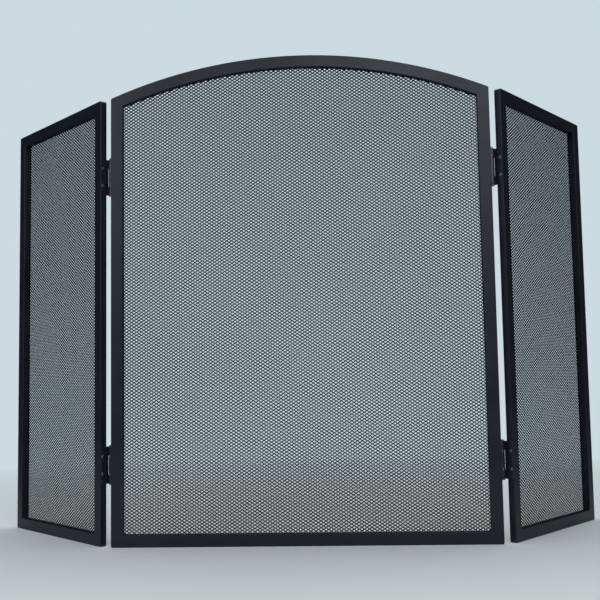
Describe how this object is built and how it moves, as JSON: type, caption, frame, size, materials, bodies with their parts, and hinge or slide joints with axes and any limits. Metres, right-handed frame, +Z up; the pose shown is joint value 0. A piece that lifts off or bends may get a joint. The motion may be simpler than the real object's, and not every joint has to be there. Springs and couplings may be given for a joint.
{
  "type": "fireplace screen",
  "caption": "Free-standing fireplace screen: arched mesh panel in a black steel tube frame, with hinged rectangular mesh side panels that fold back.",
  "frame": {"origin": "middle of the centre panel's underside, halfway through its tube's depth, on the surface the screen stands on", "axes": "+X to the right as seen from the room, along the centre panel; +Y away from the room, into the fireplace; +Z up"},
  "size_m": [1.1229, 0.2825, 0.844],
  "materials": {
    "frame_paint": "satin black powder coat",
    "mesh_paint": "semi-gloss black coated expanded steel mesh",
    "strip_paint": "satin black powder coat",
    "hinge_paint": "semi-gloss black, slightly rubbed on the knuckles",
    "pin_steel": "dark oiled steel",
    "screw_steel": "blackened steel with a slight shine"
  },
  "bodies": {
    "centre_panel": {"centre_bottom_rail": "frame_paint", "centre_bottom_mesh_strip": "strip_paint", "centre_arch_rail": "frame_paint", "centre_arch_mesh_strip": "strip_paint", "centre_left_stile": "frame_paint", "centre_left_mesh_strip": "strip_paint", "centre_right_stile": "frame_paint", "centre_right_mesh_strip": "strip_paint", "centre_mesh": "mesh_paint", "centre_mesh_screws": "screw_steel", "centre_hinge_screws": "screw_steel", "left_lower_hinge_centre_leaf": "hinge_paint", "left_lower_hinge_pin": "pin_steel", "left_upper_hinge_centre_leaf": "hinge_paint", "left_upper_hinge_pin": "pin_steel", "right_lower_hinge_centre_leaf": "hinge_paint", "right_lower_hinge_pin": "pin_steel", "right_upper_hinge_centre_leaf": "hinge_paint", "right_upper_hinge_pin": "pin_steel"},
    "left_panel": {"left_bottom_rail": "frame_paint", "left_bottom_mesh_strip": "strip_paint", "left_top_rail": "frame_paint", "left_top_mesh_strip": "strip_paint", "left_outer_stile": "frame_paint", "left_outer_mesh_strip": "strip_paint", "left_inner_stile": "frame_paint", "left_inner_mesh_strip": "strip_paint", "left_mesh": "mesh_paint", "left_mesh_screws": "screw_steel", "left_hinge_screws": "screw_steel", "left_lower_hinge_side_leaf": "hinge_paint", "left_upper_hinge_side_leaf": "hinge_paint"},
    "right_panel": {"right_bottom_rail": "frame_paint", "right_bottom_mesh_strip": "strip_paint", "right_top_rail": "frame_paint", "right_top_mesh_strip": "strip_paint", "right_inner_stile": "frame_paint", "right_inner_mesh_strip": "strip_paint", "right_outer_stile": "frame_paint", "right_outer_mesh_strip": "strip_paint", "right_mesh": "mesh_paint", "right_mesh_screws": "screw_steel", "right_hinge_screws": "screw_steel", "right_lower_hinge_side_leaf": "hinge_paint", "right_upper_hinge_side_leaf": "hinge_paint"}
  },
  "joints": [
    {"name": "left_fold", "type": "hinge", "parent": "centre_panel", "child": "left_panel", "pos_m": [-0.334, 0.0125, 0], "axis": [0, 0, -1], "range_deg": [-51.2, 133.8]},
    {"name": "right_fold", "type": "hinge", "parent": "centre_panel", "child": "right_panel", "pos_m": [0.334, 0.0125, 0], "axis": [0, 0, 1], "range_deg": [-58.7, 126.3]}
  ]
}
